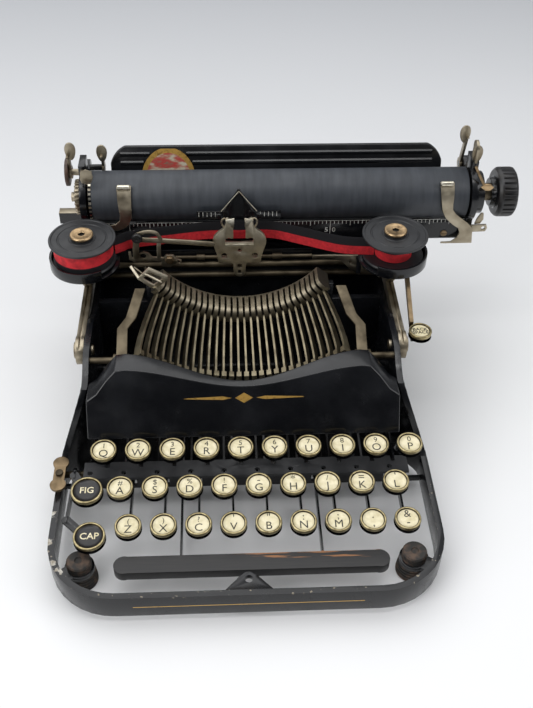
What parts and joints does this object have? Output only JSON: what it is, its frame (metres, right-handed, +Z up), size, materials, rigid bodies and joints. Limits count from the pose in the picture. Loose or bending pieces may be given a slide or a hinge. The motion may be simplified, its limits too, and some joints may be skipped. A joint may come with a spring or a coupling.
{
  "type": "folding portable typewriter",
  "caption": "Folding portable typewriter with a low black frame, three rows of round keys, ribbon spools and a carriage that swings forward over the keys.",
  "frame": {"origin": "on the table under the middle of the whole box", "axes": "+X along the platen to the typist's right, +Y from the typist to the back, +Z up"},
  "size_m": [0.2924, 0.267, 0.1515],
  "materials": {
    "japanned_black": "gloss black stove enamel",
    "nickel_plate": "aged nickel plating",
    "key_metal": "worn nickel rings with cream faces",
    "black_rubber": "matt",
    "black_ebonite": "satin",
    "black_wood": "black lacquer",
    "red_ribbon": "inked cotton",
    "drum_brass": "dull"
  },
  "bodies": {
    "base": {"base_frame": "japanned_black", "front_cover": "japanned_black", "rubber_feet": "black_rubber", "key_guide": "japanned_black", "type_segment": "nickel_plate", "typebars": "nickel_plate", "pivot_screws": "nickel_plate"},
    "fold": {"fold_frame": "nickel_plate", "spool_cups": "japanned_black", "type_guide": "nickel_plate", "ribbon": "red_ribbon"},
    "bed": {"carriage_bed": "japanned_black"},
    "carriage": {"carriage_frame": "japanned_black", "paper_table": "japanned_black", "line_scale": "japanned_black"},
    "platen": {"platen": "black_rubber", "platen_knob": "black_ebonite"},
    "key_q": {"key_q": "key_metal"},
    "key_w": {"key_w": "key_metal"},
    "key_e": {"key_e": "key_metal"},
    "key_r": {"key_r": "key_metal"},
    "key_t": {"key_t": "key_metal"},
    "key_y": {"key_y": "key_metal"},
    "key_u": {"key_u": "key_metal"},
    "key_i": {"key_i": "key_metal"},
    "key_o": {"key_o": "key_metal"},
    "key_p": {"key_p": "key_metal"},
    "key_a": {"key_a": "key_metal"},
    "key_s": {"key_s": "key_metal"},
    "key_d": {"key_d": "key_metal"},
    "key_f": {"key_f": "key_metal"},
    "key_g": {"key_g": "key_metal"},
    "key_h": {"key_h": "key_metal"},
    "key_j": {"key_j": "key_metal"},
    "key_k": {"key_k": "key_metal"},
    "key_l": {"key_l": "key_metal"},
    "key_z": {"key_z": "key_metal"},
    "key_x": {"key_x": "key_metal"},
    "key_c": {"key_c": "key_metal"},
    "key_v": {"key_v": "key_metal"},
    "key_b": {"key_b": "key_metal"},
    "key_n": {"key_n": "key_metal"},
    "key_m": {"key_m": "key_metal"},
    "key_stop": {"key_stop": "key_metal"},
    "key_and": {"key_and": "key_metal"},
    "strike_typebar": {"strike_typebar": "nickel_plate"},
    "shift_lift_arms": {"shift_lift_arms": "nickel_plate"},
    "space_bar": {"space_bar": "black_wood"},
    "upper_shift_key": {"upper_shift_key": "key_metal"},
    "lower_shift_key": {"lower_shift_key": "key_metal"},
    "shift_lock": {"shift_lock": "nickel_plate"},
    "spool_left": {"spool_left": "japanned_black"},
    "spool_right": {"spool_right": "japanned_black"},
    "backspace_key": {"backspace_key": "key_metal"},
    "mainspring_drum": {"mainspring_drum": "drum_brass"},
    "paper_fingers": {"paper_fingers": "nickel_plate"},
    "feed_roller": {"feed_roller": "black_rubber"},
    "line_space_lever": {"line_space_lever": "nickel_plate"},
    "carriage_release": {"carriage_release": "nickel_plate"},
    "paper_release": {"paper_release": "nickel_plate"}
  },
  "joints": [
    {"name": "key_q_press", "type": "hinge", "parent": "base", "child": "key_q", "pos_m": [-0.10873, 0.0405, 0.02], "axis": [1, 0, 0], "range_deg": [0, 5.5], "stiffness_Nm_per_rad": 0.4, "springref_deg": -5.73},
    {"name": "key_w_press", "type": "hinge", "parent": "base", "child": "key_w", "pos_m": [-0.08968, 0.0405, 0.02], "axis": [1, 0, 0], "range_deg": [0, 5.5], "stiffness_Nm_per_rad": 0.4, "springref_deg": -5.73},
    {"name": "key_e_press", "type": "hinge", "parent": "base", "child": "key_e", "pos_m": [-0.07062, 0.0405, 0.02], "axis": [1, 0, 0], "range_deg": [0, 5.5], "stiffness_Nm_per_rad": 0.4, "springref_deg": -5.73},
    {"name": "key_r_press", "type": "hinge", "parent": "base", "child": "key_r", "pos_m": [-0.05158, 0.0405, 0.02], "axis": [1, 0, 0], "range_deg": [0, 5.5], "stiffness_Nm_per_rad": 0.4, "springref_deg": -5.73},
    {"name": "key_t_press", "type": "hinge", "parent": "base", "child": "key_t", "pos_m": [-0.03252, 0.0405, 0.02], "axis": [1, 0, 0], "range_deg": [0, 5.5], "stiffness_Nm_per_rad": 0.4, "springref_deg": -5.73},
    {"name": "key_y_press", "type": "hinge", "parent": "base", "child": "key_y", "pos_m": [-0.01348, 0.0405, 0.02], "axis": [1, 0, 0], "range_deg": [0, 5.5], "stiffness_Nm_per_rad": 0.4, "springref_deg": -5.73},
    {"name": "key_u_press", "type": "hinge", "parent": "base", "child": "key_u", "pos_m": [0.00558, 0.0405, 0.02], "axis": [1, 0, 0], "range_deg": [0, 5.5], "stiffness_Nm_per_rad": 0.4, "springref_deg": -5.73},
    {"name": "key_i_press", "type": "hinge", "parent": "base", "child": "key_i", "pos_m": [0.02463, 0.0405, 0.02], "axis": [1, 0, 0], "range_deg": [0, 5.5], "stiffness_Nm_per_rad": 0.4, "springref_deg": -5.73},
    {"name": "key_o_press", "type": "hinge", "parent": "base", "child": "key_o", "pos_m": [0.04367, 0.0405, 0.02], "axis": [1, 0, 0], "range_deg": [0, 5.5], "stiffness_Nm_per_rad": 0.4, "springref_deg": -5.73},
    {"name": "key_p_press", "type": "hinge", "parent": "base", "child": "key_p", "pos_m": [0.06273, 0.0405, 0.02], "axis": [1, 0, 0], "range_deg": [0, 5.5], "stiffness_Nm_per_rad": 0.4, "springref_deg": -5.73},
    {"name": "key_a_press", "type": "hinge", "parent": "base", "child": "key_a", "pos_m": [-0.0992, 0.0405, 0.02], "axis": [1, 0, 0], "range_deg": [0, 4.6], "stiffness_Nm_per_rad": 0.4, "springref_deg": -5.73},
    {"name": "key_s_press", "type": "hinge", "parent": "base", "child": "key_s", "pos_m": [-0.08015, 0.0405, 0.02], "axis": [1, 0, 0], "range_deg": [0, 4.6], "stiffness_Nm_per_rad": 0.4, "springref_deg": -5.73},
    {"name": "key_d_press", "type": "hinge", "parent": "base", "child": "key_d", "pos_m": [-0.0611, 0.0405, 0.02], "axis": [1, 0, 0], "range_deg": [0, 4.6], "stiffness_Nm_per_rad": 0.4, "springref_deg": -5.73},
    {"name": "key_f_press", "type": "hinge", "parent": "base", "child": "key_f", "pos_m": [-0.04205, 0.0405, 0.02], "axis": [1, 0, 0], "range_deg": [0, 4.6], "stiffness_Nm_per_rad": 0.4, "springref_deg": -5.73},
    {"name": "key_g_press", "type": "hinge", "parent": "base", "child": "key_g", "pos_m": [-0.023, 0.0405, 0.02], "axis": [1, 0, 0], "range_deg": [0, 4.6], "stiffness_Nm_per_rad": 0.4, "springref_deg": -5.73},
    {"name": "key_h_press", "type": "hinge", "parent": "base", "child": "key_h", "pos_m": [-0.00395, 0.0405, 0.02], "axis": [1, 0, 0], "range_deg": [0, 4.6], "stiffness_Nm_per_rad": 0.4, "springref_deg": -5.73},
    {"name": "key_j_press", "type": "hinge", "parent": "base", "child": "key_j", "pos_m": [0.0151, 0.0405, 0.02], "axis": [1, 0, 0], "range_deg": [0, 4.6], "stiffness_Nm_per_rad": 0.4, "springref_deg": -5.73},
    {"name": "key_k_press", "type": "hinge", "parent": "base", "child": "key_k", "pos_m": [0.03415, 0.0405, 0.02], "axis": [1, 0, 0], "range_deg": [0, 4.6], "stiffness_Nm_per_rad": 0.4, "springref_deg": -5.73},
    {"name": "key_l_press", "type": "hinge", "parent": "base", "child": "key_l", "pos_m": [0.0532, 0.0405, 0.02], "axis": [1, 0, 0], "range_deg": [0, 4.6], "stiffness_Nm_per_rad": 0.4, "springref_deg": -5.73},
    {"name": "key_z_press", "type": "hinge", "parent": "base", "child": "key_z", "pos_m": [-0.09444, 0.0405, 0.02], "axis": [1, 0, 0], "range_deg": [0, 3.9], "stiffness_Nm_per_rad": 0.4, "springref_deg": -5.73},
    {"name": "key_x_press", "type": "hinge", "parent": "base", "child": "key_x", "pos_m": [-0.07539, 0.0405, 0.02], "axis": [1, 0, 0], "range_deg": [0, 3.9], "stiffness_Nm_per_rad": 0.4, "springref_deg": -5.73},
    {"name": "key_c_press", "type": "hinge", "parent": "base", "child": "key_c", "pos_m": [-0.05634, 0.0405, 0.02], "axis": [1, 0, 0], "range_deg": [0, 3.9], "stiffness_Nm_per_rad": 0.4, "springref_deg": -5.73},
    {"name": "key_v_press", "type": "hinge", "parent": "base", "child": "key_v", "pos_m": [-0.03729, 0.0405, 0.02], "axis": [1, 0, 0], "range_deg": [0, 3.9], "stiffness_Nm_per_rad": 0.4, "springref_deg": -5.73},
    {"name": "key_b_press", "type": "hinge", "parent": "base", "child": "key_b", "pos_m": [-0.01824, 0.0405, 0.02], "axis": [1, 0, 0], "range_deg": [0, 3.9], "stiffness_Nm_per_rad": 0.4, "springref_deg": -5.73},
    {"name": "key_n_press", "type": "hinge", "parent": "base", "child": "key_n", "pos_m": [0.00081, 0.0405, 0.02], "axis": [1, 0, 0], "range_deg": [0, 3.9], "stiffness_Nm_per_rad": 0.4, "springref_deg": -5.73},
    {"name": "key_m_press", "type": "hinge", "parent": "base", "child": "key_m", "pos_m": [0.01986, 0.0405, 0.02], "axis": [1, 0, 0], "range_deg": [0, 3.9], "stiffness_Nm_per_rad": 0.4, "springref_deg": -5.73},
    {"name": "key_stop_press", "type": "hinge", "parent": "base", "child": "key_stop", "pos_m": [0.03891, 0.0405, 0.02], "axis": [1, 0, 0], "range_deg": [0, 3.9], "stiffness_Nm_per_rad": 0.4, "springref_deg": -5.73},
    {"name": "key_and_press", "type": "hinge", "parent": "base", "child": "key_and", "pos_m": [0.05796, 0.0405, 0.02], "axis": [1, 0, 0], "range_deg": [0, 3.9], "stiffness_Nm_per_rad": 0.4, "springref_deg": -5.73},
    {"name": "typebar_strike", "type": "hinge", "parent": "base", "child": "strike_typebar", "pos_m": [-0.02798, 0.0495, 0.06103], "axis": [-0.9995, 0, -0.0305], "range_deg": [0, 130]},
    {"name": "space_press", "type": "hinge", "parent": "base", "child": "space_bar", "pos_m": [-0.03, 0.0405, 0.02], "axis": [1, 0, 0], "range_deg": [0, 2.25], "stiffness_Nm_per_rad": 0.4, "springref_deg": -5.73},
    {"name": "upper_shift", "type": "hinge", "parent": "base", "child": "upper_shift_key", "pos_m": [-0.1255, -0.0455, 0.016], "axis": [1, 0, 0], "range_deg": [0, 13]},
    {"name": "lower_shift", "type": "hinge", "parent": "base", "child": "lower_shift_key", "pos_m": [-0.1285, -0.0455, 0.016], "axis": [1, 0, 0], "range_deg": [0, 4.5], "stiffness_Nm_per_rad": 0.4, "springref_deg": -5.73},
    {"name": "shift_lock_turn", "type": "hinge", "parent": "base", "child": "shift_lock", "pos_m": [-0.13575, -0.0525, 0.024], "axis": [0, 0, 1], "range_deg": [0, 25]},
    {"name": "lift_arm_swing", "type": "hinge", "parent": "base", "child": "shift_lift_arms", "pos_m": [-0.03, -0.0025, 0.066], "axis": [1, 0, 0], "range_deg": [0, 17]},
    {"name": "carriage_fold", "type": "hinge", "parent": "base", "child": "fold", "pos_m": [-0.03, 0.0115, 0.062], "axis": [1, 0, 0], "range_deg": [0, 133]},
    {"name": "spool_left_turn", "type": "hinge", "parent": "fold", "child": "spool_left", "pos_m": [-0.125, 0.0625, 0.1], "axis": [0, 0, 1], "continuous": true},
    {"name": "spool_right_turn", "type": "hinge", "parent": "fold", "child": "spool_right", "pos_m": [0.065, 0.0625, 0.1], "axis": [0, 0, 1], "continuous": true},
    {"name": "backspace_press", "type": "hinge", "parent": "fold", "child": "backspace_key", "pos_m": [0.0785, 0.0585, 0.081], "axis": [1, 0, 0], "range_deg": [0, 9], "stiffness_Nm_per_rad": 0.4, "springref_deg": -5.73},
    {"name": "carriage_lift", "type": "slide", "parent": "fold", "child": "bed", "axis": [0, 0, 1], "range_m": [0, 0.0127]},
    {"name": "carriage_travel", "type": "slide", "parent": "bed", "child": "carriage", "axis": [1, 0, 0], "range_m": [-0.129, 0.077]},
    {"name": "drum_turn", "type": "hinge", "parent": "bed", "child": "mainspring_drum", "pos_m": [-0.085, 0.1025, 0.064], "axis": [0, 0, 1], "range_deg": [-415, 250]},
    {"name": "platen_turn", "type": "hinge", "parent": "carriage", "child": "platen", "pos_m": [-0.03, 0.1015, 0.111], "axis": [1, 0, 0], "continuous": true},
    {"name": "feed_turn", "type": "hinge", "parent": "carriage", "child": "feed_roller", "pos_m": [-0.03, 0.1095, 0.0918], "axis": [1, 0, 0], "continuous": true},
    {"name": "line_space", "type": "hinge", "parent": "carriage", "child": "line_space_lever", "pos_m": [-0.1277, 0.1045, 0.127], "axis": [1, 0, 0], "range_deg": [0, 25], "stiffness_Nm_per_rad": 0.4, "springref_deg": -5.73},
    {"name": "release_carriage", "type": "hinge", "parent": "carriage", "child": "carriage_release", "pos_m": [0.1157, 0.1215, 0.12], "axis": [1, 0, 0], "range_deg": [0, 25], "stiffness_Nm_per_rad": 0.4, "springref_deg": -5.73},
    {"name": "release_paper", "type": "hinge", "parent": "carriage", "child": "paper_release", "pos_m": [-0.1277, 0.1215, 0.12], "axis": [1, 0, 0], "range_deg": [0, 25]},
    {"name": "finger_spring", "type": "hinge", "parent": "carriage", "child": "paper_fingers", "pos_m": [-0.03, 0.08887, 0.09903], "axis": [1, 0, 0], "range_deg": [0, 8], "stiffness_Nm_per_rad": 0.4, "springref_deg": -5.73}
  ],
  "couplings": [
    {"joint": "typebar_strike", "follows": "key_g_press", "ratio": 28.256},
    {"joint": "upper_shift", "follows": "carriage_lift", "rad_per_m": 17.856},
    {"joint": "lift_arm_swing", "follows": "carriage_lift", "rad_per_m": 23.353},
    {"joint": "drum_turn", "follows": "carriage_travel", "rad_per_m": 55.556},
    {"joint": "feed_turn", "follows": "platen_turn", "ratio": -3.5556}
  ]
}
